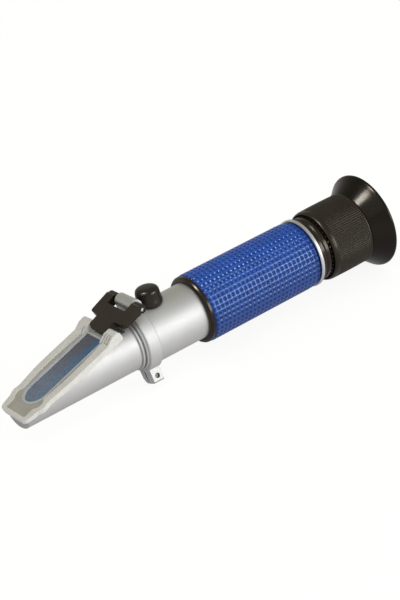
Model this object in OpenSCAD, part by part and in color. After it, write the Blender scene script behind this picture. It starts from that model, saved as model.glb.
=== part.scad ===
// Handheld optical refractometer, in millimetres.
// The optical axis is X. The nose with the prism points to -X (front), the eyepiece to +X (rear).
// +Z is up through the cover hinge and the calibration screw.
// The origin is on the optical axis in the middle of the eyepiece socket bore.
// Stations along the axis are written from the rear face of the grip, and
// shifted to the origin by the module datum().

/* [Tube and grip] */
// Distance from the grip's rear face to the origin
eye_datum = 25; // [24.8:0.1:25.2]
// Outer radius of the main tube
tube_r = 11.2; // [11.1:0.05:11.25]
// Bore radius of the main tube
tube_bore_r = 9.6; // [9.6:0.05:9.7]
// Outer radius of the rubber grip
grip_r = 13.5; // [13.2:0.1:13.8]
// Length of the rubber grip
grip_len = 50.5; // [48:0.5:52]
// Outer radius of the bright trim ring behind the grip
trim_r = 13.8; // [13.5:0.1:14]

/* [Nose and prism] */
// Outer radius of the nose body
nose_r = 10.1; // [10:0.05:10.3]
// Distance from the grip's rear face to the tip of the nose
nose_tip = 130.3; // [130:0.1:130.6]
// Angle of the sample face to the optical axis
slope = 17.9; // [17.7:0.1:18.1]
// Half width of the prism
prism_hw = 5.6; // [5.2:0.1:5.7]

/* [Cover plate] */
// Half width of the daylight plate at its widest
plate_hw = 11.4; // [11.2:0.1:11.6]
// Height of the plate's rim above its pane
rim_h = 0.75; // [0.65:0.05:0.85]
// Thickness of the plate's pane
plate_t = 1.3; // [1.2:0.05:1.35]
// Half width of the window in the plate
window_hw = 5.3; // [5:0.1:5.4]

/* [Cover hinge] */
// Half width of the black hinge link
link_hw = 10.35; // [10.2:0.05:10.5]
// Slope of the link to the optical axis
link_slope = 24; // [23.5:0.1:24.5]
// Radius of the rear hinge pin
pin_r = 0.7; // [0.6:0.05:0.8]
// Radius of the front hinge pin
plate_pin_r = 0.6; // [0.5:0.05:0.65]
// Running clearance of both hinge pins
pin_clear = 0.05; // [0.03:0.01:0.08]

/* [Clamp ring] */
// Outer radius of the clamp ring
ring_r = 12.4; // [12.2:0.1:12.6]
// Width of the clamp ring along the axis
ring_w = 5.1; // [4.8:0.1:5.3]
// Angle of the clamp's ears from straight down, towards -Y
ear_turn = 19; // [0:1:30]

/* [Calibration screw] */
// Distance from the grip's rear face to the screw
cal_x = 68; // [67.8:0.1:68.3]
// Outer radius of the rubber cap at its base
cap_r = 5.0; // [4.6:0.1:5.1]
// Height of the rubber cap's top above the axis
cap_top = 17.4; // [16.8:0.1:18]

/* [Eyepiece] */
// Outer radius of the focusing ring
focus_r = 14.3; // [14:0.1:14.6]
// Outer radius of the eyecup's rim
cup_r = 18.9; // [18:0.1:19.5]
// Distance from the grip's rear face to the eyecup's rim
cup_end = 33; // [32:0.5:34]
// Radius of the eyepiece socket bore
socket_r = 9.8; // [9.6:0.1:9.9]
// Outer radius of the sliding lens barrel
barrel_r = 8.9; // [8.8:0.05:8.9]
// Number of teeth on the focusing ring's front edge
teeth = 40; // [36:2:60]

/* [Hidden] */
$fn = 96;

// Radii of parts that slide into or over the main tube
spigot_r = tube_bore_r - 0.05;
over_tube_r = tube_r + 0.03;
// Outer radius of the sleeve under the grip
sleeve_r = 12.1;
// Front point of the pane's top plane
plate_x = -131.0;
plate_z = -3.66;
// Rear and front hinge axes
hinge_x = -76.9;
hinge_z = 15.2;
front_hinge_x = -89.6;
front_hinge_z = 10.75;

// Parts of the offset [x, z] along and square to a line at an angle to the axis
function along(x, z, angle) = x * cos(angle) + z * sin(angle);
function above(x, z, angle) = -x * sin(angle) + z * cos(angle);
// Front hinge axis in the link's frame
pin_along = along(front_hinge_x - hinge_x, front_hinge_z - hinge_z, link_slope);
pin_above = above(front_hinge_x - hinge_x, front_hinge_z - hinge_z, link_slope);
// Front hinge axis in the plate's frame
ear_along = along(front_hinge_x - plate_x, front_hinge_z - plate_z, slope);
ear_above = above(front_hinge_x - plate_x, front_hinge_z - plate_z, slope);

module datum() { translate([-eye_datum, 0, 0]) children(); }
// Solid of revolution about the optical axis from [radius, station] points
module lathe(points) { rotate([0, 90, 0]) rotate_extrude() polygon(points); }
module rod(front, rear, radius) {
  translate([front, 0, 0]) rotate([0, 90, 0]) cylinder(h = rear - front, r = radius);
}
module tube(front, rear, outer_r, inner_r) {
  difference() {
    rod(front, rear, outer_r);
    rod(front - 1, rear + 1, inner_r);
  }
}
// Rod along Y
module cross_rod(x, z, y_from, y_to, radius) {
  translate([x, y_from, z]) rotate([-90, 0, 0]) cylinder(h = y_to - y_from, r = radius);
}
// Rod along Z, standing on z
module upright(x, z, height, radius) { translate([x, 0, z]) cylinder(h = height, r = radius); }
// Places children in the sample plane: X along the slope, Z normal to it
module on_slope() { translate([plate_x, 0, plate_z]) rotate([0, -slope, 0]) children(); }
// Places children in the link's frame about the rear hinge axis
module on_link() { translate([hinge_x, 0, hinge_z]) rotate([0, -link_slope, 0]) children(); }
// Extrudes a side view drawn in [x, z] between two Y stations
module side(y_from, y_to) {
  translate([0, y_to, 0]) rotate([90, 0, 0]) linear_extrude(y_to - y_from) children();
}
function reversed(points) = [for (i = [len(points) - 1:-1:0]) points[i]];
// Lens face from axis to edge; a positive bulge points to the rear
function lens_face(edge_r, edge_x, bulge) =
  [for (i = [0:12]) let (part = i / 12) [edge_r * part, edge_x + bulge * (1 - part * part)]];

// ---------- nose ----------
// Depths below the pane's top plane
glass_level = -(plate_t + 0.1);
metal_level = -(plate_t + 0.3);
prism_front = -126.5;
prism_rear = -91.5;
prism_floor = -6.5;
// Gap in the pocket around the prism and around its seal
prism_gap = 0.06;
seal_start = 3.26;
seal_len = 38.28;
seal_hw = prism_hw + 0.5;

// Places children at the three radial set screws, Z pointing outwards
module at_set_screws() {
  for (angle = [90, 210, 330]) translate([-77.6, 0, 0]) rotate([angle, 0, 0]) children();
}
module set_screw_holes() { at_set_screws() upright(0, 8.5, 4, 1, $fn = 32); }

module nose_body() {
  neck_r = nose_r - 0.55;
  shoulder = -80;
  color([0.80, 0.81, 0.82]) datum() difference() {
    lathe([[0, -nose_tip], [nose_r - 0.4, -nose_tip], [nose_r, -nose_tip + 0.4],
      [nose_r, -81.9], [neck_r, -81.7], [neck_r, -81.35],
      [nose_r + 0.45, -81.2], [nose_r + 0.55, -81.0], [nose_r + 0.45, -80.55],
      [neck_r, -80.4], [neck_r, shoulder], [spigot_r, shoulder],
      [spigot_r, -73.6], [spigot_r - 0.4, -73.2], [0, -73.2]]);
    // sloping cut
    on_slope() translate([-10, -15, metal_level]) cube([90, 30, 30]);
    // relief under the hinge
    translate([-94.5, -15, 8]) cube([10.6, 30, 10]);
    // prism pocket
    side(-prism_hw - prism_gap, prism_hw + prism_gap) polygon([
      [prism_front - 0.1, prism_floor - prism_gap], [prism_front - 0.1, 5],
      [prism_rear + 0.1, 14], [prism_rear + 0.1, prism_floor - prism_gap]]);
    // seal rebate around the prism
    on_slope() translate([seal_start - prism_gap, -seal_hw - prism_gap, metal_level - 1.05])
      cube([seal_len + 2 * prism_gap, 2 * (seal_hw + prism_gap), 5]);
    // light passage
    rod(-92, -70, 6.2);
    // groove for the O-ring
    tube(-75.4, -74, 11, 8.35);
    set_screw_holes();
  }
}
module prism() {
  color([0.35, 0.50, 0.72]) datum() intersection() {
    side(-prism_hw, prism_hw) polygon([[prism_front, prism_floor], [prism_front, 12],
      [prism_rear, 12], [prism_rear, prism_floor]]);
    on_slope() translate([-5, -10, -40]) cube([80, 20, 40 + glass_level]);
  }
}
// Flat frame around the prism
module prism_seal() {
  front = prism_front - prism_gap;
  rear = prism_rear + prism_gap;
  color([0.08, 0.08, 0.08]) datum() difference() {
    on_slope() translate([seal_start, -seal_hw, metal_level - 1])
      cube([seal_len, 2 * seal_hw, 0.95]);
    side(-prism_hw - 0.04, prism_hw + 0.04)
      polygon([[front, -12], [front, 20], [rear, 20], [rear, -12]]);
  }
}
module nose_o_ring() {
  color([0.05, 0.05, 0.05]) datum() translate([-74.7, 0, 0]) rotate([0, 90, 0])
    rotate_extrude() translate([8.97, 0]) circle(r = 0.56, $fn = 32);
}
module nose_set_screws() {
  color([0.30, 0.30, 0.32]) datum() at_set_screws() difference() {
    upright(0, 8.7, 2.4, 0.97, $fn = 32);
    upright(0, 10.2, 2, 0.5, $fn = 6);
  }
}

// ---------- clamp ring ----------
// Clamp ring's middle plane
ring_x = -76.65;

// Turns children down to the ears of the clamp
module on_ears() { rotate([-ear_turn, 0, 0]) translate([ring_x, 0, 0]) children(); }
// Lays Z along the clamp screw
module on_clamp_screw() { on_ears() translate([0, 0, -14.8]) rotate([-90, 0, 0]) children(); }

module clamp_ring() {
  front = ring_x - ring_w / 2;
  rear = ring_x + ring_w / 2;
  inner_r = 10.9;
  bevel = 0.3;
  color([0.83, 0.84, 0.85]) datum() difference() {
    union() {
      lathe([[inner_r, front], [ring_r - bevel, front], [ring_r, front + bevel],
        [ring_r, rear - bevel], [ring_r - bevel, rear], [inner_r, rear]]);
      // ears, drawn as [distance below the axis, y]
      on_ears() translate([-2.1, 0, 0]) rotate([0, 90, 0]) linear_extrude(4.2)
        polygon([[11.0, -3.7], [16.6, -3.7], [17.2, -3.1], [17.2, 1.6],
          [16.4, 3.2], [15.0, 4.1], [11.2, 4.4]]);
      // lug on top with its knuckle
      side(-5.85, 4.3) union() {
        translate([hinge_x, hinge_z]) circle(r = 2.6);
        polygon([[hinge_x - 2.3, tube_r + 0.1], [hinge_x - 2.3, hinge_z - 2.2],
          [hinge_x - 2.55, hinge_z - 0.5], [hinge_x + 2.55, hinge_z - 0.5],
          [hinge_x + 2.6, ring_r - 0.2], [hinge_x + 2.6, tube_r + 0.1]]);
      }
    }
    // bore over the main tube
    rod(ring_x - 5, ring_x + 5, tube_r + 0.02);
    // bore for the rear hinge pin
    cross_rod(hinge_x, hinge_z, -7, 7, pin_r + pin_clear);
    // gap between the ears
    on_ears() translate([-5, 0.6, -20]) cube([10, 0.9, 10]);
    // hole and counterbore for the clamp screw
    on_clamp_screw() upright(0, -10, 20, 1);
    on_clamp_screw() upright(0, 3.0, 5, 1.75);
  }
}
module clamp_screw() {
  color([0.45, 0.45, 0.47]) datum() on_clamp_screw() difference() {
    union() {
      upright(0, -2.9, 6, 0.97);
      upright(0, 3.05, 1.6, 1.7);
    }
    upright(0, 3.8, 3, 0.85, $fn = 6);
  }
}

// ---------- main tube and optics ----------
// Calibration bush in the tube wall, and the screw's tip in the cell
bush_r = 2.55;
cal_tip_r = 1.2;
// Half width and half height of the pocket in the carrier, and of the cover that fits it
pocket_hw = 5.9;
pocket_hh = 6.9;
cover_hw = pocket_hw - 0.05;
cover_hh = pocket_hh - 0.05;
carrier_hole_r = 5.2;
objective_r = 5.0;
atc_x = -62.6;
reticle_r = 8.2;

module main_tube() {
  front = -79.9;
  rear = 4.5;
  bevel = 0.2;
  color([0.80, 0.81, 0.82]) datum() difference() {
    lathe([[tube_bore_r, front], [tube_r - bevel, front], [tube_r, front + bevel],
      [tube_r, rear - bevel], [tube_r - bevel, rear], [tube_bore_r, rear]]);
    upright(-cal_x, 8, 5, bush_r + 0.05);
    set_screw_holes();
  }
}
// Hole for the ATC screw, from below
module atc_hole() { upright(atc_x, -12, 6, 0.8); }
// Plug with a rectangular pocket open to the rear
module objective_carrier() {
  color([0.20, 0.20, 0.21]) datum() difference() {
    rod(-72.8, -60.5, tube_bore_r - 0.04);
    rod(-74, -60, carrier_hole_r);
    translate([-70.6, -pocket_hw, -pocket_hh]) cube([20, 2 * pocket_hw, 2 * pocket_hh]);
    upright(-cal_x, 6, 6, 1.8);
    atc_hole();
  }
}
module carrier_cover() {
  color([0.16, 0.16, 0.17]) datum() difference() {
    translate([-65.3, -cover_hw, -cover_hh]) cube([1.2, 2 * cover_hw, 2 * cover_hh]);
    rod(-66, -60, carrier_hole_r);
  }
}
// Block that holds the objective lens
module objective_cell() {
  color([0.55, 0.47, 0.28]) datum() difference() {
    translate([-70.5, -cover_hw, -6.15]) cube([5.1, 2 * cover_hw, 12.5]);
    rod(-71, -60, 4.3);
    rod(-69.3, -60, objective_r + 0.05);
    upright(-cal_x, 5.4, 6, cal_tip_r + 0.05);
  }
}
// Flat in front, convex behind
module objective_lens() {
  front = -69.2;
  color([0.75, 0.85, 0.92]) datum() lathe(concat([[0, front], [objective_r, front]],
    reversed(lens_face(objective_r, -67.6, 0.7))));
}
module lens_lock_ring() {
  color([0.12, 0.12, 0.12]) datum() tube(-67.35, -66.0, objective_r + 0.01, 4.35);
}
// Bowed leaf under the cell
module cell_spring() {
  bow_r = 40;
  width = 4;
  length = 4.6;
  color([0.75, 0.75, 0.77]) datum() intersection() {
    translate([-cal_x, 0, -6.8 + bow_r]) rotate([90, 0, 0]) translate([0, 0, -width / 2])
      difference() {
        cylinder(h = width, r = bow_r, $fn = 200);
        translate([0, 0, -1]) cylinder(h = width + 2, r = bow_r - 0.15, $fn = 200);
      }
    translate([-cal_x - length / 2, -width / 2, -6.85]) cube([length, width, 0.7]);
  }
}
// Bent strip, drawn as [x, z]: upper side to the rear, then lower side back
module atc_strip() {
  color([0.72, 0.45, 0.25]) datum() difference() {
    side(-2.5, 2.5) polygon([
      [-64.0, -6.87], [-64.0, -6.37], [-60.4, -6.37], [-57, -5.9],
      [-53, -5.9], [-49.5, -7.0], [-47.4, -8.6],
      [-47.8, -8.95], [-49.8, -7.5], [-53.2, -6.4], [-56.9, -6.4], [-60.3, -6.87]]);
    atc_hole();
  }
}
module atc_screw() {
  color([0.5, 0.5, 0.52]) datum() union() {
    upright(atc_x, -9.3, 3.2, 0.77);
    upright(atc_x, -6.34, 0.8, 1.3);
  }
}
// Closed at both ends but for a round hole
module baffle_tube() {
  color([0.07, 0.07, 0.07]) datum() difference() {
    rod(-44, -14, spigot_r);
    rod(-43, -15, 9);
    rod(-44.5, -42, 6.5);
    rod(-16, -10, 7.6);
  }
}
module reticle_holder() {
  color([0.13, 0.13, 0.13]) datum() difference() {
    rod(-12.5, -5.5, spigot_r);
    rod(-13, 0, 7.2);
    rod(-10, 0, reticle_r + 0.05);
  }
}
module reticle() { color([0.85, 0.92, 0.95]) datum() rod(-9.98, -8.6, reticle_r); }
module reticle_ring() {
  color([0.13, 0.13, 0.13]) datum() tube(-8.55, -7, reticle_r + 0.02, 7.3);
}

// ---------- calibration screw ----------
cal_shank_r = 1.5;
cal_head_r = 2.25;
bush_top_r = 3.2;

module calibration_bush() {
  color([0.12, 0.12, 0.12]) datum() difference() {
    union() {
      upright(-cal_x, tube_bore_r + 0.05, tube_r - tube_bore_r, bush_r);
      upright(-cal_x, tube_r + 0.02, 3.4, bush_top_r);
    }
    upright(-cal_x, 0, 20, cal_shank_r + 0.05);
    upright(-cal_x, 12.8, 5, cal_head_r + 0.05);
  }
}
// Thin tip, shank and slotted head
module calibration_screw() {
  color([0.80, 0.66, 0.35]) datum() difference() {
    union() {
      upright(-cal_x, 5.9, 3.2, cal_tip_r);
      upright(-cal_x, 8.8, 4.2, cal_shank_r);
      upright(-cal_x, 12.85, 1.35, cal_head_r);
    }
    translate([-cal_x - 3, -0.3, 13.5]) cube([6, 0.6, 2]);
  }
}
// Cap profile is [radius, height above the axis]
module screw_cap() {
  color([0.06, 0.06, 0.06]) datum() difference() {
    translate([-cal_x, 0, 0]) rotate_extrude() polygon([
      [0, 9], [cap_r - 0.35, 9], [cap_r - 0.05, 10.6], [cap_r, 11.6],
      [cap_r - 0.25, 12.9], [cap_r - 0.42, 14.6], [cap_r - 0.45, cap_top - 1.5],
      [cap_r - 0.75, cap_top - 0.75], [cap_r - 1.35, cap_top - 0.22],
      [cap_r - 2.4, cap_top], [0, cap_top]]);
    upright(-cal_x, 0, 14.9, bush_top_r + 0.04);
    rod(-cal_x - 10, -cal_x + 10, tube_r + 0.06);
  }
}

// ---------- grip ----------
// Sleeve under the grip, with a rounded collar at its front
module grip_sleeve() {
  front = -grip_len;
  rear = -0.02;
  color([0.05, 0.05, 0.05]) datum() lathe([
    [over_tube_r, front - 1.75], [tube_r + 0.25, front - 1.85],
    [grip_r - 1.1, front - 1.75], [grip_r - 0.5, front - 1.45],
    [grip_r - 0.2, front - 0.95], [grip_r - 0.15, front - 0.05],
    [sleeve_r, front - 0.05], [sleeve_r, rear], [over_tube_r, rear]]);
}
module grip() {
  front = -grip_len;
  rear = -0.06;
  inner_r = sleeve_r + 0.02;
  color([0.05, 0.22, 0.60]) datum() lathe([
    [inner_r, front], [grip_r - 0.6, front], [grip_r - 0.15, front + 0.3],
    [grip_r, front + 1], [grip_r, -4.5], [grip_r - 0.1, -2.2],
    [grip_r - 0.35, -0.8], [grip_r - 0.7, rear], [inner_r, rear]]);
}
module trim_ring() {
  color([0.88, 0.88, 0.90]) datum() lathe([[over_tube_r, 0], [trim_r - 0.35, 0],
    [trim_r, 0.25], [trim_r, 1.1], [trim_r - 0.3, 1.45], [over_tube_r, 1.45]]);
}

// ---------- eyepiece ----------
// Housing inside the focusing ring, and the ring's core inside its sleeve
housing_r = 11.25;
focus_core_r = 13;
// Guide screw station
guide_x = 12.5;
// Snap ring
snap_front = 20.95;
snap_rear = 21.35;
snap_inner_r = 10.8;
// Eyecup ring: outside, rear face of its wide part, neck and lip behind it
cup_ring_r = 12.06;
cup_ring_rear = 25.2;
cup_neck_r = 11.4;
cup_lip_r = 11.8;
// Lens barrel bore, the lenses in it, and the opening of the rings between them
barrel_bore_r = 7.9;
lens_r = barrel_bore_r - 0.05;
lens_opening_r = 6.9;

module eyepiece_housing() {
  bore_r = barrel_r + 0.05;
  color([0.08, 0.08, 0.08]) datum() difference() {
    lathe([[over_tube_r, 1.5], [12.4, 1.5], [12.4, 3.5], [12.6, 3.75], [12.8, 4.0],
      [12.8, 5.2], [12.6, 5.5], [11.9, 5.5], [11.9, 7.3], [housing_r, 7.3],
      [housing_r, 21.6], [housing_r - 0.2, 21.8], [bore_r, 21.8],
      [bore_r, 4.6], [over_tube_r, 4.6]]);
    // groove for the snap ring
    tube(snap_front - 0.05, snap_rear + 0.05, 13, snap_inner_r - 0.05);
    guide_slot(4.7);
  }
}
// Slot along X with round ends, cut through the housing's underside
module guide_slot(travel) {
  half_w = 1.05;
  translate([guide_x - travel / 2, 0, -13]) union() {
    upright(0, 0, 6, half_w, $fn = 32);
    upright(travel, 0, 6, half_w, $fn = 32);
    translate([0, -half_w, 0]) cube([travel, 2 * half_w, 6]);
  }
}
module focus_ring() {
  tip_r = 12.98;
  root_r = 12.35;
  color([0.10, 0.10, 0.10]) datum() difference() {
    union() {
      rod(7.6, 25.15, focus_core_r);
      // toothed front edge, four points to a tooth
      translate([5.75, 0, 0]) rotate([0, 90, 0]) linear_extrude(1.95)
        polygon([for (i = [0:4 * teeth - 1])
          let (angle = (i + 0.5) * 90 / teeth, radius = (i % 4 < 2) ? tip_r : root_r)
          [radius * cos(angle), radius * sin(angle)]]);
    }
    rod(5, 30, housing_r + 0.05);
    rod(5, 7.6, 12.0);
    // annular groove that the guide screw runs in
    rod(9, 16, 12.25);
    // counterbore for the snap ring and the eyecup ring
    rod(20.6, 30, 12.1);
  }
}
module focus_sleeve() {
  inner_r = focus_core_r + 0.03;
  color([0.07, 0.07, 0.07]) datum() lathe([
    [inner_r, 6.9], [13.3, 6.5], [13.5, 6.4], [13.72, 6.5],
    [focus_r - 0.12, 7.4], [focus_r, 8.6], [focus_r, 24.5],
    [focus_r - 0.2, 25.0], [focus_r - 0.55, 25.2], [inner_r, 25.2]]);
}
// Open ring with its gap on top
module snap_ring() {
  color([0.5, 0.5, 0.52]) datum() difference() {
    tube(snap_front, snap_rear, 11.9, snap_inner_r);
    translate([20, -1.5, 0]) cube([3, 3, 20]);
  }
}
module eyecup_ring() {
  color([0.09, 0.09, 0.09]) datum() lathe([[socket_r, 22.3], [cup_ring_r, 22.3],
    [cup_ring_r, cup_ring_rear], [cup_neck_r, cup_ring_rear], [cup_neck_r, 26.5],
    [cup_lip_r, 26.8], [cup_lip_r, 27.2], [cup_lip_r - 0.3, 27.5], [socket_r, 27.5]]);
}
// Flared curve between two [radius, station] points; straight is the share of linear growth
function flare(start, end, straight, steps) = [for (i = [0:steps]) let (part = i / steps) [
  start[0] + (end[0] - start[0]) * (straight * part + (1 - straight) * part * part),
  start[1] + (end[1] - start[1]) * part]];
// Outside from front to rear, over the rim, then inside back to the front
module eyecup() {
  neck_r = cup_neck_r + 0.03;
  lip_r = cup_lip_r + 0.03;
  color([0.05, 0.05, 0.05]) datum() lathe(concat(
    [[neck_r, cup_ring_rear + 0.05], [13.6, cup_ring_rear + 0.05], [13.9, 25.4]],
    flare([14.1, 25.8], [cup_r, cup_end - 1.0], 0.80, 10),
    [[cup_r - 0.05, cup_end - 0.35], [cup_r - 0.4, cup_end],
      [cup_r - 1.2, cup_end], [cup_r - 1.5, cup_end - 0.3]],
    reversed(flare([10.9, 28.2], [cup_r - 1.6, cup_end - 0.8], 0.75, 8)),
    [[10.1, 28.0], [10.1, 27.55], [lip_r, 27.55], [lip_r, 26.75], [neck_r, 26.45]]));
}
module lens_barrel() {
  color([0.10, 0.10, 0.10]) datum() difference() {
    rod(-1, 19.8, barrel_r);
    rod(-2, 1, 7);
    rod(0.5, 21, barrel_bore_r);
    upright(guide_x, -9.5, 3, 1);
  }
}
// Flat in front, convex behind
module field_lens() {
  front = 0.55;
  color([0.78, 0.87, 0.93]) datum()
    lathe(concat([[0, front], [lens_r, front]], reversed(lens_face(lens_r, 2.0, 1.2))));
}
module lens_spacer() {
  color([0.12, 0.12, 0.12]) datum() tube(2.35, 14.2, barrel_bore_r - 0.04, lens_opening_r);
}
// Convex on both faces
module eye_lens() {
  color([0.78, 0.87, 0.93]) datum()
    lathe(concat(lens_face(lens_r, 14.5, -1.0), reversed(lens_face(lens_r, 15.8, 1.5))));
}
// Ring with two notches in its rear face
module lens_retainer() {
  color([0.12, 0.12, 0.12]) datum() difference() {
    tube(16.25, 19.2, barrel_bore_r - 0.03, lens_opening_r);
    for (angle = [0, 180]) rotate([angle, 0, 0]) translate([18.2, -0.6, 6]) cube([3, 1.2, 3]);
  }
}
module guide_screw() {
  color([0.55, 0.55, 0.57]) datum() upright(guide_x, -12.1, 4.1, 0.99, $fn = 48);
}

// ---------- hinge link ----------
// Half width of the link's tongue
tongue_hw = 5.35;

// The link seen from above, with its front corners rounded
module link_plan() {
  head_x = -8.6;
  head_corner = 1.1;
  corner_y = link_hw - head_corner;
  tongue_x = pin_along + 0.1;
  tongue_corner = 2;
  tongue_y = tongue_hw - tongue_corner;
  translate([0, 0, -8]) linear_extrude(16) difference() {
    union() {
      translate([head_x, -link_hw]) square([14, 2 * link_hw]);
      translate([head_x - head_corner, -corner_y]) square([4, 2 * corner_y]);
      for (y = [-corner_y, corner_y]) translate([head_x, y]) circle(r = head_corner);
      translate([tongue_x, -tongue_hw]) square([8, 2 * tongue_hw]);
      translate([tongue_x - tongue_corner, -tongue_y]) square([8, 2 * tongue_y]);
      for (y = [-tongue_y, tongue_y]) translate([tongue_x, y]) circle(r = tongue_corner);
      // webs in the inner corners
      translate([-10.7, -6.35]) square([3, 12.7]);
    }
    for (y = [-6.37, 6.37]) translate([-10.72, y]) circle(r = 0.97);
  }
}
module hinge_link() {
  top = 2.55;
  tongue_end = pin_along - 0.3;
  color([0.15, 0.135, 0.12]) datum() on_link() difference() {
    intersection() {
      link_plan();
      union() {
        // head and its two arms
        side(-link_hw, link_hw) union() {
          polygon([[-10.8, 0.2], [-9.35, -0.1], [-2.2, -0.75], [0, -0.75],
            [0.2, 1.9], [-0.7, top], [-9.4, top], [-10.8, 2.4]]);
          translate([0, 0.3]) circle(r = 1.7);
        }
        // tongue
        side(-tongue_hw, tongue_hw) union() {
          polygon([[tongue_end, pin_above - 1.5], [-9, -0.3], [-9, top], [tongue_end, top]]);
          translate([tongue_end, pin_above]) circle(r = 1.5);
        }
      }
    }
    // slot for the knuckle of the clamp ring
    translate([-4.3, -6.1, -5]) cube([10, 11.7, 12]);
    // bores for both pins
    cross_rod(0, 0, -12, 12, pin_r + 0.005);
    cross_rod(pin_along, pin_above, -12, 12, plate_pin_r + pin_clear);
  }
}
module link_pin() {
  half_len = link_hw - 0.35;
  color([0.75, 0.75, 0.77]) datum() cross_rod(hinge_x, hinge_z, -half_len, half_len, pin_r);
}

// ---------- cover plate ----------
// Smooth curve through control points; the first and last only steer its ends
function curve_pt(prev, from, to, next, t) = 0.5 * (2 * from + (to - prev) * t
  + (2 * prev - 5 * from + 4 * to - next) * t * t
  + (3 * from - prev - 3 * to + next) * t * t * t);
function curve(points, steps) = [for (i = [1:len(points) - 3]) for (j = [0:steps - 1])
  curve_pt(points[i - 1], points[i], points[i + 1], points[i + 2], j / steps)];
// The points in reverse order on the -Y side
function flipped(points) = [for (point = reversed(points)) [point[0], -point[1]]];

// Outline [along the slope, y] of the plate in its own plane, with a thumb nub on each side
module plate_outline() {
  half = concat(
    curve([[-1, 3], [-1, 6.6], [-0.8, 7.7], [-0.1, 8.6], [1.0, 9.1],
      [3.2, plate_hw - 1.9], [4.6, plate_hw - 1.7], [5.4, plate_hw - 1.25],
      [6.4, plate_hw - 0.8], [7.4, plate_hw - 0.65], [8.5, plate_hw - 0.8],
      [9.5, plate_hw - 1.05], [10.6, plate_hw - 1.05], [13, plate_hw - 0.8],
      [17, plate_hw - 0.3], [21, plate_hw], [26, plate_hw]], 3),
    [[21, plate_hw], [44, plate_hw], [44, 5.5], [41.8, 5.5]]);
  polygon(concat(half, flipped(half)));
}
// Edge of the shallow tray around the window, moved in by inset behind the nubs
function tray_edge(inset) = concat(
  [[0.5, 5.9], [0.7, 6.3], [1.1, 6.45]],
  curve([[1, 6.4], [3.6, 6.5], [4.9, 6.8], [5.6, 7.6], [6.5, 8.2], [7.5, 8.4], [8.5, 8.2],
    [9.3, 7.6], [10.4, 7.35 - inset], [14, 7.9 - inset], [19, 8.4 - inset],
    [25, 8.4 - inset], [31, 8.15 - inset], [36, 7.7 - inset],
    [40.8, 7.0 - inset], [43, 6.8 - inset]], 3),
  [[40.8, 7.0 - inset], [40.8, 5.3], [46, 5.3]]);
module tray_outline() { polygon(concat(tray_edge(0), flipped(tray_edge(0.5)))); }
// Outline of the window, round at its front end, grown outwards
module window_outline(grow) {
  centre = 6.2 + window_hw;
  half_w = window_hw + grow;
  translate([centre, 0]) circle(r = half_w);
  translate([centre, -half_w]) square([33.8 - window_hw + grow * 0.8, 2 * half_w]);
}
// Extrudes a side view into both ears
module ear_pair() {
  for (y = [5.5, -plate_hw + 0.05]) side(y, y + plate_hw - 5.55) children();
}
// Hollows in the ears, each [start along the slope, start y, length, width]
ear_hollows = [
  [38.2, 6.4, 3.0, 0.9], [38.2, -7.3, 4.2, 1.0],
  [38.9, -8.7, 3.5, 0.9], [38.9, -10.5, 3.5, 1.3]];
module cover_plate() {
  ear_r = 1.3;
  color([0.86, 0.86, 0.84, 0.75]) datum() on_slope() difference() {
    union() {
      // pane
      translate([0, 0, -plate_t]) linear_extrude(plate_t) plate_outline();
      // rim, lower towards the front
      difference() {
        intersection() {
          translate([0, 0, -0.2]) linear_extrude(3) plate_outline();
          side(-14, 14) polygon([[-3, -0.3], [-3, 0.2], [1, 0.25], [5, 0.35],
            [10, rim_h - 0.2], [16, rim_h - 0.05], [20, rim_h], [41.3, rim_h], [41.3, -0.3]]);
        }
        linear_extrude(5) tray_outline();
      }
      // bead around the window
      translate([0, 0, -0.1]) linear_extrude(0.3) window_outline(1.0);
      // lip over the tip of the nose
      translate([-1, -6.6, -plate_t - 0.5]) cube([0.9, 13.2, 1]);
      // ears around the front hinge pin
      ear_pair() polygon([[38.6, -plate_t], [38.6, rim_h], [41.7, 2.2],
        [ear_along, ear_above + ear_r], [ear_along, -plate_t]]);
      ear_pair() translate([ear_along, ear_above]) circle(r = ear_r);
      ear_pair() polygon([[ear_along - 0.5, -plate_t], [ear_along - 0.5, ear_above],
        [ear_along + ear_r, ear_above], [ear_along + ear_r, 0.2 - plate_t],
        [ear_along + 0.9, -plate_t]]);
    }
    // window recess
    translate([0, 0, -0.3]) linear_extrude(5) window_outline(0);
    for (hollow = ear_hollows)
      translate([hollow[0], hollow[1], 0.1]) cube([hollow[2], hollow[3], 5]);
    // bore for the front hinge pin
    cross_rod(ear_along, ear_above, -10.6, 14, plate_pin_r + 0.005);
  }
}
module plate_pin() {
  color([0.75, 0.75, 0.77]) datum()
    cross_rod(front_hinge_x, front_hinge_z, -10.5, 11.1, plate_pin_r);
}

nose_body();
prism();
prism_seal();
nose_o_ring();
nose_set_screws();
clamp_ring();
clamp_screw();
main_tube();
objective_carrier();
carrier_cover();
objective_cell();
objective_lens();
lens_lock_ring();
cell_spring();
atc_strip();
atc_screw();
baffle_tube();
reticle_holder();
reticle();
reticle_ring();
calibration_bush();
calibration_screw();
screw_cap();
grip_sleeve();
grip();
trim_ring();
eyepiece_housing();
focus_ring();
focus_sleeve();
snap_ring();
eyecup_ring();
eyecup();
lens_barrel();
field_lens();
lens_spacer();
eye_lens();
lens_retainer();
guide_screw();
hinge_link();
link_pin();
cover_plate();
plate_pin();
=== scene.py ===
# A hand refractometer with a blue knurled grip, an eyepiece and a hinged daylight plate.
# Its long axis lies along X: the nose points to -X, the eyecup to +X, the screw cap up to +Z.
# "Near" is the -Y side, where the camera stands.
import math
import bpy
import bmesh
import numpy as np
from mathutils import Vector, Matrix


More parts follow.
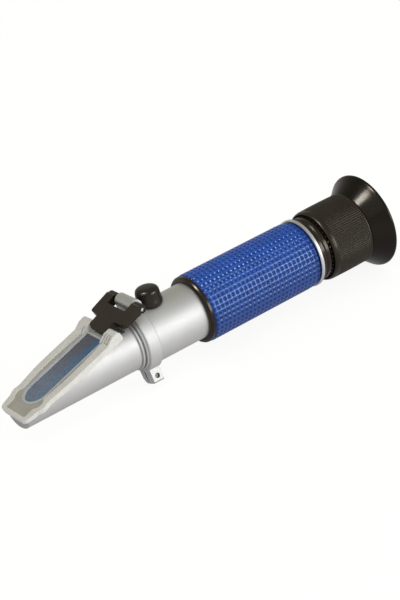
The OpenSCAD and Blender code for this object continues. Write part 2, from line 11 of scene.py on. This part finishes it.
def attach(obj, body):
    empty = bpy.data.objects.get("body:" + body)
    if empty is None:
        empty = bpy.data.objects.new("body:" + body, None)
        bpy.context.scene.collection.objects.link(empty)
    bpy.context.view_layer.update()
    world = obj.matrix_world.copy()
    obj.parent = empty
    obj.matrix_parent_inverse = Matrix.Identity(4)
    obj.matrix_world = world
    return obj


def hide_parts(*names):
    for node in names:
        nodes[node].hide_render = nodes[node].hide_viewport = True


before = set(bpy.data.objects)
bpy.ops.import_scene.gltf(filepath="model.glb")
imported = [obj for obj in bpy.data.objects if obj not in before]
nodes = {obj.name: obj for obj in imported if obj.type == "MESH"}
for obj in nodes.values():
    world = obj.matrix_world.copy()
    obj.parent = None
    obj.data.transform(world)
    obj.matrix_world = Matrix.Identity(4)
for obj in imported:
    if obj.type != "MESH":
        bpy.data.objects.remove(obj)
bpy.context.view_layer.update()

scene = bpy.context.scene

# Parts are drawn in millimetres, the scene is in metres.
# Stations along the axis count from the rear face of the grip.
# The frame's origin lies DATUM behind that face.
MM = 0.001
DATUM = 25.0


def point(x, y, z):
    """Scene position of a point given by its station x and its y and z in millimetres."""
    return ((x - DATUM) * MM, y * MM, z * MM)


def polar(x, radius, angle):
    """Point at a station and radius. The angle is measured from -Y upwards."""
    return point(x, -radius * math.cos(angle), radius * math.sin(angle))


def add_object(name, data):
    obj = bpy.data.objects.new(name, data)
    scene.collection.objects.link(obj)
    return obj


# ------------------------------------------------------------------ node graphs
BUMP_DISTANCE = 0.00003


class Graph:
    """A shader node tree with short ways to add and join nodes."""

    def __init__(self, tree):
        self.tree = tree

    def feed(self, node, inputs):
        """Link each input to a socket, or set it to a plain value."""
        for key, value in inputs.items():
            if isinstance(value, bpy.types.NodeSocket):
                self.tree.links.new(value, node.inputs[key])
            else:
                node.inputs[key].default_value = value

    def add(self, kind, inputs={}):
        node = self.tree.nodes.new("ShaderNode" + kind)
        self.feed(node, inputs)
        return node

    def calc(self, operation, *values):
        node = self.add("Math", dict(enumerate(values)))
        node.operation = operation
        return node.outputs[0]

    def split(self, vector):
        return self.add("SeparateXYZ", {0: vector}).outputs

    def ramp(self, factor, stops):
        """Colour ramp. Each stop is (position, grey or RGB)."""
        node = self.add("ValToRGB")
        elements = node.color_ramp.elements
        while len(elements) < len(stops):
            elements.new(0.5)
        for element, (position, colour) in zip(elements, stops):
            element.position = position
            element.color = (*colour, 1) if hasattr(colour, "__len__") else (*[colour] * 3, 1)
        self.feed(node, {"Fac": factor})
        return node.outputs["Color"]

    def mix(self, factor, first, second, blend="MIX"):
        """Mix two colours. Sockets 6, 7 and output 2 are the colour ones."""
        node = self.add("Mix")
        node.data_type = "RGBA"
        node.blend_type = blend
        self.feed(node, {"Factor": factor, 6: first, 7: second})
        return node.outputs[2]

    def mix_shader(self, factor, first, second):
        return self.add("MixShader", {"Fac": factor, 1: first, 2: second}).outputs["Shader"]


class Surface(Graph):
    """A new Principled material with object coordinates."""

    def __init__(self, name):
        self.material = bpy.data.materials.new(name)
        self.material.use_nodes = True
        super().__init__(self.material.node_tree)
        self.tree.nodes.clear()
        self.output = self.add("OutputMaterial")
        self.shader = self.add("BsdfPrincipled")
        self.feed(self.output, {"Surface": self.shader.outputs["BSDF"]})
        self.coords = self.add("TexCoord").outputs["Object"]

    def set(self, inputs):
        self.feed(self.shader, inputs)

    def noise(self, scale, detail=3.0, roughness=0.55, vector=None):
        return self.add("TexNoise", {
            "Scale": scale, "Detail": detail, "Roughness": roughness,
            "Vector": self.coords if vector is None else vector}).outputs["Fac"]

    def speckle(self, scale, detail, stops):
        return self.ramp(self.noise(scale, detail), stops)

    def bump(self, height, strength):
        node = self.add("Bump", {
            "Strength": strength, "Distance": BUMP_DISTANCE, "Height": height})
        self.set({"Normal": node.outputs["Normal"]})


def scaled(colour, factor):
    return [value * factor for value in colour]


# ------------------------------------------------------------------ materials
def metal(name, colour, roughness, spread=0.03, relief=0.10, streaks=0.0):
    """Grained metal. Streaks add fine lines across the long axis to the relief."""
    s = Surface(name)
    s.set({"Metallic": 1.0, "Base Color": s.speckle(
        scale=110.0, detail=4, stops=[(0.35, scaled(colour, 0.97)), (0.65, scaled(colour, 1.02))])})
    height = s.noise(scale=14000.0, detail=2)
    s.set({"Roughness": s.speckle(
        scale=900.0, detail=3, stops=[(0.3, roughness - spread), (0.7, roughness + spread)])})
    if streaks:
        stretched = s.add("Mapping", {"Scale": (6000, 80, 80), "Vector": s.coords})
        lines = s.noise(scale=1.0, vector=stretched.outputs["Vector"])
        height = s.calc("MULTIPLY_ADD", lines, streaks, height)
    s.bump(height, relief)
    return s.material


def plastic(name, colour, roughness, spread=0.05, specular=0.5, relief=0.08, coat=0.0,
            tint=(1.0, 1.0, 1.0)):
    """Opaque plastic or rubber. The tint colours its highlights."""
    s = Surface(name)
    s.set({
        "Base Color": s.speckle(
            scale=180.0, detail=4, stops=[(0.35, scaled(colour, 0.9)), (0.65, scaled(colour, 1.1))]),
        "Roughness": s.speckle(
            scale=650.0, detail=4, stops=[(0.3, roughness - spread), (0.7, roughness + spread)]),
        "Specular IOR Level": specular,
        "Specular Tint": (*tint, 1),
        "Coat Weight": coat,
        "Coat Roughness": 0.10,
    })
    s.bump(s.noise(scale=5000.0, detail=2), relief)
    return s.material


def clear_glass(name, colour, roughness):
    s = Surface(name)
    s.set({
        "Base Color": s.speckle(
            scale=90.0, detail=2, stops=[(0.3, scaled(colour, 0.97)), (0.7, colour)]),
        "Transmission Weight": 1.0,
        "IOR": 1.5,
        "Roughness": s.speckle(
            scale=1500.0, detail=2, stops=[(0.3, roughness * 0.6), (0.7, roughness * 1.4)]),
    })
    return s.material


def frosted(name, colour, roughness, transmission):
    """Milky plastic that scatters light about a millimetre deep."""
    s = Surface(name)
    s.set({
        "Base Color": s.speckle(
            scale=240.0, detail=4,
            stops=[(0.32, scaled(colour, 0.93)), (0.68, scaled(colour, 1.04))]),
        "Roughness": s.speckle(
            scale=800.0, detail=3, stops=[(0.3, roughness - 0.05), (0.7, roughness + 0.06)]),
        "Transmission Weight": transmission,
        "IOR": 1.49,
        "Subsurface Weight": 0.25,
        "Subsurface Radius": (0.0012, 0.0011, 0.0010),
        "Subsurface Scale": 1.0,
    })
    s.bump(s.noise(scale=1800.0), strength=0.03)
    return s.material


def prism_window():
    """Blue prism seen through the pane: purple-grey on the far side, steel blue on the near."""
    across_stops = [
        (0.10, (0.120, 0.118, 0.150)), (0.45, (0.100, 0.112, 0.165)),
        (0.62, (0.052, 0.140, 0.285)), (0.95, (0.048, 0.150, 0.315)),
    ]
    nose_colour = (0.215, 0.275, 0.380, 1)
    lifted_colour = (0.58, 0.57, 0.53, 1)
    s = Surface("window_blue")
    place = s.split(s.coords)
    # the colour turns across the width, with a slow drift along the length and some noise
    across = s.calc("MULTIPLY_ADD", place["Y"], -95.0, 0.50)
    across = s.calc("MULTIPLY_ADD", s.calc("ADD", place["X"], 0.134), -6.0, across)
    wobble = s.calc("SUBTRACT", s.noise(scale=260.0), 0.5)
    colour = s.ramp(s.calc("MULTIPLY_ADD", wobble, 0.5, across), across_stops)
    # paler towards the nose
    to_nose = s.calc("MULTIPLY_ADD", place["X"], -55.0, -6.75)
    colour = s.mix(s.ramp(to_nose, [(0.0, 0.0), (1.0, 0.72)]), colour, nose_colour)
    grain = s.ramp(s.noise(scale=2300.0, detail=2, roughness=0.7), [(0.34, 0.62), (0.68, 1.42)])
    colour = s.mix(1.0, colour, grain, blend="MULTIPLY")
    # the blue fades as the plate lifts off the prism, and is gone after 1/50 m
    travel = s.add("VectorMath", {
        0: s.add("NewGeometry").outputs["Position"], 1: s.add("TexCoord").outputs["Object"]})
    travel.operation = "DISTANCE"
    lift = s.calc("MULTIPLY", travel.outputs["Value"], 50.0)
    colour = s.mix(s.ramp(lift, [(0.02, 0.0), (1.0, 1.0)]), colour, lifted_colour)
    s.set({"Base Color": colour, "Roughness": 0.28, "Specular IOR Level": 0.45})
    s.bump(s.noise(scale=2600.0, detail=2), strength=0.15)
    return s.material


WARM = (1.0, 0.90, 0.78)
COOL = (0.70, 0.86, 1.0)
MATERIALS = {
    "aluminium": metal("satin_aluminium", [0.66, 0.66, 0.655], roughness=0.56),
    "trim": metal("bright_trim", [0.66, 0.66, 0.675], roughness=0.36, spread=0.02, relief=0.04),
    "steel": metal("screw_steel", [0.62, 0.62, 0.63], roughness=0.28, spread=0.05, streaks=0.5),
    # painted shade: the clamp screw is coloured near-black so its hole in the clamp lug reads dark
    "painted_hole_shade": metal("steel_painted_dark_for_hole_shade", [0.060, 0.055, 0.050], roughness=0.40, spread=0.05),
    "brass": metal("machined_brass", [0.78, 0.58, 0.27], roughness=0.28, spread=0.05, streaks=0.4),
    "bimetal": metal("bimetal_strip", [0.75, 0.48, 0.30], roughness=0.34, spread=0.05),
    "anodised": plastic("black_anodised", [0.013, 0.013, 0.014], roughness=0.55, relief=0.2),
    "seal": plastic("seal_rubber", [0.015] * 3, roughness=0.62, spread=0.08, relief=0.2),
    "gloss": plastic("gloss_black", [0.0065, 0.0040, 0.0022], roughness=0.24, spread=0.04,
                     specular=0.30, relief=0.04, tint=WARM),
    "link": plastic("link_black", [0.0085, 0.0055, 0.0030], roughness=0.42,
                    specular=0.26, relief=0.12, tint=WARM),
    "cap": plastic("cap_rubber", [0.0050, 0.0038, 0.0025], roughness=0.24,
                   specular=0.32, relief=0.05, tint=WARM),
    "blue": plastic("blue_rubber", [0.0012, 0.0290, 0.1800], roughness=0.29, spread=0.04,
                    specular=0.62, relief=0.05, tint=COOL),
    "ribbed": plastic("ribbed_rubber", [0.0075, 0.0055, 0.0032], roughness=0.34, spread=0.06,
                      specular=0.27, relief=0.10, tint=WARM),
    "cup": plastic("cup_rubber", [0.0030, 0.0021, 0.0012], roughness=0.20, spread=0.03,
                   specular=0.19, relief=0.03, tint=WARM),
    "glass": clear_glass("lens_glass", [0.93, 0.97, 0.98], roughness=0.03),
    "prism": plastic("prism_glass", [0.05, 0.14, 0.30], roughness=0.12, spread=0.04,
                     relief=0.02, coat=0.6),
    "frost": frosted("frosted_plastic", [0.93, 0.915, 0.885], roughness=0.30, transmission=0.12),
    "pane": frosted("frosted_pane", [0.52, 0.505, 0.45], roughness=0.34, transmission=0.05),
    "bead": frosted("frosted_bead", [0.64, 0.68, 0.72], roughness=0.26, transmission=0.10),
    "window": prism_window(),
}

PARTS = {
    "aluminium": ["nose_body", "main_tube", "clamp_ring"],
    "trim": ["trim_ring"],
    "prism": ["prism"],
    "seal": ["prism_seal", "nose_o_ring"],
    # painted shade: only the screw's end in the hole shows, coloured dark for the hole's shade
    "painted_hole_shade": ["clamp_screw"],
    "steel": ["nose_set_screws", "atc_screw", "snap_ring", "guide_screw", "link_pin",
              "plate_pin", "cell_spring"],
    "anodised": ["objective_carrier", "carrier_cover", "lens_lock_ring", "baffle_tube",
                 "reticle_holder", "reticle_ring", "lens_barrel", "lens_spacer",
                 "lens_retainer"],
    "brass": ["objective_cell", "calibration_screw"],
    "bimetal": ["atc_strip"],
    "glass": ["objective_lens", "reticle", "field_lens", "eye_lens"],
    "gloss": ["grip_sleeve", "eyepiece_housing", "calibration_bush", "eyecup_ring",
              "focus_ring"],
    "link": ["hinge_link"],
    "cap": ["screw_cap"],
    "blue": ["grip"],
    "ribbed": ["focus_sleeve"],
    "cup": ["eyecup"],
    "frost": ["cover_plate"],
}
for key, names in PARTS.items():
    for name in names:
        nodes[name].data.materials.clear()
        nodes[name].data.materials.append(MATERIALS[key])


# ------------------------------------------------------------------ zones of the daylight plate
PLATE_X, PLATE_Z = -131.0, -3.66
PLATE_TILT = math.radians(17.9)
FROST, PANE, BEAD, WINDOW = range(4)


def plate_zone(face):
    """Zone of a face, from its place along, above and across the tilted plate."""
    x = face.center.x / MM + DATUM - PLATE_X
    z = face.center.z / MM - PLATE_Z
    sin, cos = math.sin(PLATE_TILT), math.cos(PLATE_TILT)
    along = x * cos + z * sin
    height = -x * sin + z * cos
    across = abs(face.center.y / MM)
    up = -face.normal.x * sin + face.normal.z * cos
    if up > 0.9:
        if abs(height + 0.3) < 0.06:
            return WINDOW
        if abs(height) < 0.05:
            return PANE
        if abs(height - 0.2) < 0.03 and along > 5.0 and across < 6.5:
            return BEAD
    # side walls of the bead
    elif abs(up) < 0.2 and 0.0 < height < 0.2 and along > 5.0 and across < 6.45:
        return BEAD
    return FROST


plate = nodes["cover_plate"].data
for key in ("pane", "bead", "window"):
    plate.materials.append(MATERIALS[key])
for face in plate.polygons:
    face.material_index = plate_zone(face)


# ------------------------------------------------------------------ mesh helpers
def piece(name, verts, faces, material, body, stands_for, sharp_angle):
    """Build a smooth-shaded mesh that rides on a body in place of a CAD piece."""
    mesh = bpy.data.meshes.new(name)
    mesh.from_pydata(verts, [], faces)
    bm = bmesh.new()
    bm.from_mesh(mesh)
    bmesh.ops.recalc_face_normals(bm, faces=bm.faces)
    bm.to_mesh(mesh)
    bm.free()
    mesh.materials.append(MATERIALS[material])
    mesh.polygons.foreach_set("use_smooth", [True] * len(mesh.polygons))
    mesh.set_sharp_from_angle(angle=math.radians(sharp_angle))
    mesh.update()
    obj = add_object(name, mesh)
    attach(obj, body)
    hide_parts(stands_for)


def angles_around(segments):
    return np.arange(segments) * 2 * math.pi / segments


def turned(profile, angles):
    """Rings of points round the axis, one for each (station, radius)."""
    return [polar(x, radius, a) for x, radius in profile for a in angles]


def band(first, second, segments):
    """Faces between two rings, given by the index of their first points."""
    pairs = [(j, (j + 1) % segments) for j in range(segments)]
    return [(first + j, first + k, second + k, second + j) for j, k in pairs]


def bands(rings, segments, start=0, closed=True):
    """Faces along a run of rings. A closed run joins its last ring to its first."""
    faces = []
    for i in range(rings if closed else rings - 1):
        following = (i + 1) % rings
        faces += band(start + i * segments, start + following * segments, segments)
    return faces


def fan(ring, centre, segments):
    return [(ring + j, ring + (j + 1) % segments, centre) for j in range(segments)]


def smooth_profile(points, step):
    """Catmull-Rom curve through the points. A point given twice is a corner."""
    runs = [[points[0]]]
    for p in points[1:]:
        if p == runs[-1][-1]:
            runs.append([p])
        else:
            runs[-1].append(p)
    curve = []
    for run in runs:
        ends = np.array([run[0]] + run + [run[-1]], float)
        for p0, p1, p2, p3 in zip(ends, ends[1:], ends[2:], ends[3:]):
            count = max(1, int(math.ceil(np.linalg.norm(p2 - p1) / step)))
            for k in range(count):
                t = k / count
                curve.append(tuple(0.5 * (
                    (2 * p1) + (-p0 + p2) * t + (2 * p0 - 5 * p1 + 4 * p2 - p3) * t * t
                    + (-p0 + 3 * p1 - 3 * p2 + p3) * t ** 3)))
    return curve + [points[-1]]


# ------------------------------------------------------------------ knurled grip
GRIP_RADIUS = 13.52
GRIP_BORE = 12.13
KNURL_DEPTH = 0.46


def grip():
    """Rubber grip with ridges along and around it, and square pits between them."""
    front, rear = -50.5, -0.06
    # outer radius over the ridges, against station
    outline_x = [front, -50.2, -49.5, -4.5, -2.2, -0.8, rear]
    outline_radius = [12.95, 13.35, GRIP_RADIUS, GRIP_RADIUS, 13.42, 13.15, 12.8]
    ridges_around = 40
    ridge_angle = math.radians(25.9)
    ridge_pitch, ridge_x = 1.92, -31.6
    width_around, width_along = 0.52, 0.50
    crossing_rise = 0.10
    arc_radius = 13.5

    segments = ridges_around * 9
    angles = angles_around(segments)
    half_turn = math.pi / ridges_around
    offset = (angles - ridge_angle + half_turn) % (2 * half_turn) - half_turn
    lengthwise = np.exp(-(np.abs(offset) * arc_radius / width_around) ** 2)
    stations = list(np.arange(front, rear, ridge_pitch / 8)) + [rear]
    verts = []
    for x in stations:
        outline = float(np.interp(x, outline_x, outline_radius))
        gap = abs((x - ridge_x + ridge_pitch / 2) % ridge_pitch - ridge_pitch / 2)
        hoop = math.exp(-(gap / width_along) ** 2)
        height = 1 - (1 - lengthwise) * (1 - hoop) + crossing_rise * lengthwise * hoop
        radii = outline - KNURL_DEPTH * (1 - height)
        verts += [polar(x, radius, a) for a, radius in zip(angles, radii)]
    verts += turned([(rear, GRIP_BORE), (front, GRIP_BORE)], angles)
    piece("grip_knurled", verts, bands(len(stations) + 2, segments), "blue",
          "body", "grip", sharp_angle=80)


def paint_pit_shade(material, floor_radius, crest_radius):
    """Paint shade into the pits of a knurled rubber: the base colour darker and the specular duller
    there, by distance from the long axis.
    """
    g = Graph(material.node_tree)
    shader = next(node for node in g.tree.nodes if node.type == "BSDF_PRINCIPLED")
    colour = shader.inputs["Base Color"].links[0].from_socket
    place = g.split(g.add("TexCoord").outputs["Object"])
    squares = [g.calc("MULTIPLY", place[axis], place[axis]) for axis in "YZ"]
    # the square root ignores its second value
    radius = g.calc("SQRT", g.calc("ADD", *squares), 0.0)
    depth = g.calc("SUBTRACT", radius, floor_radius)
    height = g.calc("DIVIDE", depth, crest_radius - floor_radius)
    # painted shade: the colour darkens towards the pit floors, where shade falls between the ridges
    shade = g.ramp(height, [(0.05, 0.66), (0.95, 1.10)])
    g.feed(shader, {
        "Base Color": g.mix(1.0, colour, shade, blend="MULTIPLY"),
        "Specular IOR Level": g.ramp(height, [(0.15, 0.22), (0.90, 0.78)]),
    })


# ------------------------------------------------------------------ ribbed focusing sleeve
def focus_sleeve():
    """Rubber sleeve with fine ribs along it, crossed by rings."""
    # (station, radius) of the rounded front lip and the rear edge
    front_lip = [(6.9, 13.04), (6.5, 13.28), (6.38, 13.5), (6.5, 13.75), (6.9, 14.0),
                 (7.5, 14.18), (8.1, 14.27)]
    rear_edge = [(24.6, 14.30), (24.95, 14.18), (25.15, 13.95), (25.2, 13.7), (25.2, 13.7),
                 (25.2, 13.04)]
    edge_step = 0.25
    start, end, step = 8.3, 24.55, 0.133
    crest_radius, belly = 14.30, 0.10
    fade_in, fade_out = 0.5, 0.4
    ribs, rib_depth = 100, 0.20
    ring_pitch, ring_x, ring_depth = 0.80, 9.9, 0.13

    segments = ribs * 6
    angles = angles_around(segments)
    rib = (0.5 + 0.5 * np.cos(angles * ribs)) ** 0.7
    front = smooth_profile(front_lip, edge_step)
    rear = smooth_profile(rear_edge, edge_step)
    stations = np.arange(start, end, step)
    verts = turned(front, angles)
    for x in stations:
        fade = min(1.0, (x - start) / fade_in, (end - x) / fade_out)
        ring = (0.5 + 0.5 * math.cos(2 * math.pi * (x - ring_x) / ring_pitch)) ** 0.8
        crest = crest_radius + belly * math.sin(math.pi * (x - start) / (end - start))
        radii = crest - fade * (rib_depth * (1 - rib) + ring_depth * (1 - ring))
        verts += [polar(x, radius, a) for a, radius in zip(angles, radii)]
    verts += turned(rear, angles)
    rings = len(front) + len(stations) + len(rear)
    piece("focus_sleeve_ribbed", verts, bands(rings, segments), "ribbed",
          "focus", "focus_sleeve", sharp_angle=70)


# ------------------------------------------------------------------ eyecup
def flare(start, end, bow, fractions):
    """Points of a slightly bowed cone wall between two (station, radius) points."""
    (x0, r0), (x1, r1) = start, end
    return [(x0 + (x1 - x0) * t, r0 + (r1 - r0) * ((1 - bow) * t + bow * t * t))
            for t in fractions]


def eyecup():
    """Flared rubber cup, turned from one closed (station, radius) outline."""
    neck = [(25.27, 11.45), (25.27, 13.5), (25.27, 13.5), (25.38, 13.8), (25.8, 14.1)]
    outer = flare(neck[-1], (31.9, 18.72), bow=0.14, fractions=[k / 5 for k in range(1, 6)])
    rim = [(32.45, 18.9), (32.85, 18.8), (33.0, 18.45), (33.0, 17.75), (32.75, 17.35)]
    inner = flare((32.2, 17.0), (28.2, 10.9), bow=0.25, fractions=[k / 4 for k in range(5)])
    seat = [(28.0, 10.1), (28.0, 10.1), (27.56, 10.1), (27.56, 10.1), (27.56, 11.82),
            (27.56, 11.82), (26.76, 11.82), (26.46, 11.45)]
    segments = 256
    profile = smooth_profile(neck + outer + rim + inner + seat, step=0.35)
    piece("eyecup_soft", turned(profile, angles_around(segments)),
          bands(len(profile), segments), "cup", "focus", "eyecup",
          sharp_angle=35)


# ------------------------------------------------------------------ screw cap
def screw_cap():
    """Hollow rubber cap over the calibration screw. Its foot follows the tube."""
    centre_x, base_z, foot_z = -68.0, 10.75, 10.4
    tube_radius = 11.28
    bend_top, bend_height = 12.4, 2.0
    crown_z, hollow_z = base_z + 6.72, 14.9
    # (radius from the cap's axis, height over base_z)
    outside = [(4.72, foot_z - base_z), (4.95, 0.0), (5.03, 0.55), (4.98, 1.2), (4.80, 2.2),
               (4.66, 3.3), (4.58, 4.5), (4.46, 5.3), (4.10, 5.95), (3.45, 6.38),
               (2.4, 6.62), (1.2, 6.70)]
    # (radius, z)
    hollow = [(3.4, foot_z), (3.3, 14.6), (2.9, hollow_z)]
    segments = 96
    angles = angles_around(segments)

    def ring(radius, z):
        """Ring about the cap's axis, bent to follow the tube where it is below bend_top."""
        bend = max(0.0, min(1.0, (bend_top - z) / bend_height))
        points = []
        for a in angles:
            y = radius * math.sin(a)
            saddle = math.sqrt(tube_radius ** 2 - y * y) - foot_z
            points.append(point(centre_x + radius * math.cos(a), y, z + bend * saddle))
        return points

    profile = smooth_profile(outside, step=0.3)
    verts = []
    for radius, dz in profile:
        verts += ring(radius, base_z + dz)
    crown = len(verts)
    verts.append(point(centre_x, 0, crown_z))
    inside = len(verts)
    for radius, z in hollow:
        verts += ring(radius, z)
    ceiling = len(verts)
    verts.append(point(centre_x, 0, hollow_z))

    faces = bands(len(profile), segments, closed=False)
    faces += fan(crown - segments, crown, segments)
    faces += band(0, inside, segments)
    faces += bands(len(hollow), segments, start=inside, closed=False)
    faces += fan(ceiling - segments, ceiling, segments)
    piece("screw_cap_soft", verts, faces, "cap", "cap", "screw_cap",
          sharp_angle=60)


# painted shade in the pits of the blue grip
paint_pit_shade(MATERIALS["blue"], (GRIP_RADIUS - KNURL_DEPTH) * MM, GRIP_RADIUS * MM)
grip()
focus_sleeve()
eyecup()
screw_cap()

# ------------------------------------------------------------------ soft edges on the solid parts
# part, bevel width in millimetres, least edge angle in degrees
SOFT_EDGES = [
    ("nose_body", 0.12, 40), ("clamp_ring", 0.22, 40), ("hinge_link", 0.35, 40),
    ("main_tube", 0.1, 50), ("cover_plate", 0.14, 35),
]
for name, width, angle in SOFT_EDGES:
    bevel = nodes[name].modifiers.new("soft_edge", "BEVEL")
    bevel.width = width * MM
    bevel.segments = 3
    bevel.limit_method = "ANGLE"
    bevel.angle_limit = math.radians(angle)
    bevel.use_clamp_overlap = True
    bevel.harden_normals = True


# ------------------------------------------------------------------ floor (metres from here on)
FLOOR_Z = -0.01895
FLOOR_HALF = 3
# painted floor glow that reflections see, across Y from the near to the far edge of the span; the
# dark dip in the middle is a painted shadow under the instrument
FLOOR_SPAN = 0.16
PAINTED_FLOOR_REFLECTION = [
    (0.0, (1.0, 1.0, 0.98)), (0.25, (0.95, 0.95, 0.93)), (0.38, (0.74, 0.73, 0.725)),
    (0.46, (0.52, 0.51, 0.52)), (0.54, (0.31, 0.305, 0.33)), (0.62, (0.34, 0.34, 0.37)),
    (0.75, (0.46, 0.46, 0.48)), (1.0, (0.62, 0.62, 0.62)),
]
PAPER_GLOW = (1.12, 1.12, 1.105, 1)
PAPER_GLOW_SHARE = 0.80


def floor_paper():
    """White paper, partly glowing to the camera, and a painted glow to reflections with a painted
    shadow under the instrument.
    """
    s = Surface("floor_paper")
    s.set({
        "Roughness": 0.95,
        "Specular IOR Level": 0.0,
        "Base Color": s.speckle(scale=8.0, detail=2, stops=[(0.3, 0.90), (0.7, 0.91)]),
    })
    ray = s.add("LightPath").outputs
    across = s.calc("MULTIPLY_ADD", s.split(s.coords)["Y"], 1 / FLOOR_SPAN, 0.5)
    # reflections see a painted glow here, dark under the instrument as a painted shadow
    gradient = s.add("Emission", {"Color": s.ramp(across, PAINTED_FLOOR_REFLECTION)})
    paper = s.mix_shader(
        ray["Is Glossy Ray"], s.shader.outputs["BSDF"], gradient.outputs["Emission"])
    glow = s.add("Emission", {"Color": PAPER_GLOW})
    share = s.calc("MULTIPLY", ray["Is Camera Ray"], PAPER_GLOW_SHARE)
    seen = s.mix_shader(share, paper, glow.outputs["Emission"])
    s.feed(s.output, {"Surface": seen})
    return s.material


floor_mesh = bpy.data.meshes.new("floor")
corners = [(-1, -1), (1, -1), (1, 1), (-1, 1)]
floor_mesh.from_pydata(
    [(x * FLOOR_HALF, y * FLOOR_HALF, FLOOR_Z) for x, y in corners], [], [(0, 1, 2, 3)])
floor = add_object("floor", floor_mesh)
floor_mesh.materials.append(floor_paper())

# ------------------------------------------------------------------ world
# sky brightness round the instrument, from the near horizon over the top to the far horizon
SKY_SEEN = [
    (0.0, (0.82, 0.82, 0.80)), (0.30, (0.62, 0.62, 0.60)), (0.50, (0.50, 0.495, 0.45)),
    (0.62, (0.44, 0.43, 0.37)), (0.73, (0.38, 0.365, 0.30)), (0.84, (0.47, 0.455, 0.40)),
    (1.0, (0.75, 0.73, 0.68)),
]


def build_world():
    """Sky gradient for light and reflections; the camera sees a plain pale backdrop."""
    world = bpy.data.worlds.new("world")
    scene.world = world
    world.use_nodes = True
    g = Graph(world.node_tree)
    sky = g.tree.nodes["Background"]
    place = g.split(g.add("TexCoord").outputs["Generated"])
    turn = g.calc("ARCTAN2", place["Z"], g.calc("MULTIPLY", place["Y"], -1.0))
    half_turns = g.calc("MULTIPLY", turn, 1 / math.pi)
    g.feed(sky, {"Color": g.ramp(half_turns, SKY_SEEN), "Strength": 1.0})
    plain = g.add("Background", {"Color": (1.0, 1.0, 0.99, 1), "Strength": 1.05})
    seen = g.mix_shader(
        g.add("LightPath").outputs["Is Camera Ray"],
        sky.outputs["Background"], plain.outputs["Background"])
    g.feed(g.tree.nodes["World Output"], {"Surface": seen})


build_world()


# ------------------------------------------------------------------ lights
def area_light(name, place, target, size, power, receivers=None, group=None):
    """Rectangular light aimed at a target. Given receivers, it reaches only those."""
    light = bpy.data.lights.new(name, "AREA")
    light.shape = "RECTANGLE"
    light.size, light.size_y = size
    light.energy = power
    lamp = add_object(name, light)
    lamp.location = place
    aim = Vector(target) - Vector(place)
    lamp.rotation_euler = aim.to_track_quat("-Z", "Y").to_euler()
    if receivers:
        collection = bpy.data.collections.new(group)
        for obj in receivers:
            collection.objects.link(obj)
        lamp.light_linking.receiver_collection = collection


# The metal, the daylight plate and the floor get the softbox weaker than the rest does.
PALE_NAMES = {name for key in ("aluminium", "trim", "steel", "frost") for name in PARTS[key]}
meshes = [o for o in scene.objects if o.type == "MESH"]
pale = [o for o in meshes if o is floor or o.name in PALE_NAMES]
dark = [o for o in meshes if o not in pale]

MIDDLE = (-0.075, 0, 0.0)
# near side, towards the eyecup
SOFTBOX_PLACE = (0.27, -0.74, 0.17)
area_light("softbox", SOFTBOX_PLACE, MIDDLE, size=(0.56, 0.56), power=2.6,
           receivers=pale, group="pale_things")
area_light("softbox_dark", SOFTBOX_PLACE, MIDDLE, size=(0.50, 0.36), power=5.5,
           receivers=dark, group="dark_things")
area_light("top_left_dark", (-0.395, -0.01, 0.705), (0.0, 0, 0.0), size=(0.20, 0.20),
           power=5.5, receivers=dark, group="dark_things_2")
area_light("left_dark", (-0.74, -0.03, 0.46), (-0.07, 0, 0.0), size=(0.16, 0.16),
           power=1.0, receivers=dark, group="dark_things_3")
area_light("fill", (-0.60, -0.40, 0.55), MIDDLE, size=(0.5, 0.5), power=0.4)

# ------------------------------------------------------------------ camera
CAMERA_PLACE = (-0.374012, -0.53019, 0.298511)
# columns: the camera's right, up and backward directions
CAMERA_AXES = Matrix((
    (0.794302, 0.413732, -0.444871),
    (-0.56979, 0.253284, -0.781784),
    (-0.210771, 0.874456, 0.436924),
))
lens = bpy.data.cameras.new("camera")
lens.lens = 109.93
lens.sensor_width = 36.0
lens.clip_start = 0.01
camera = add_object("camera", lens)
camera.matrix_world = Matrix.Translation(CAMERA_PLACE) @ CAMERA_AXES.to_4x4()
scene.camera = camera

scene.view_settings.view_transform = "Standard"
scene.view_settings.look = "None"
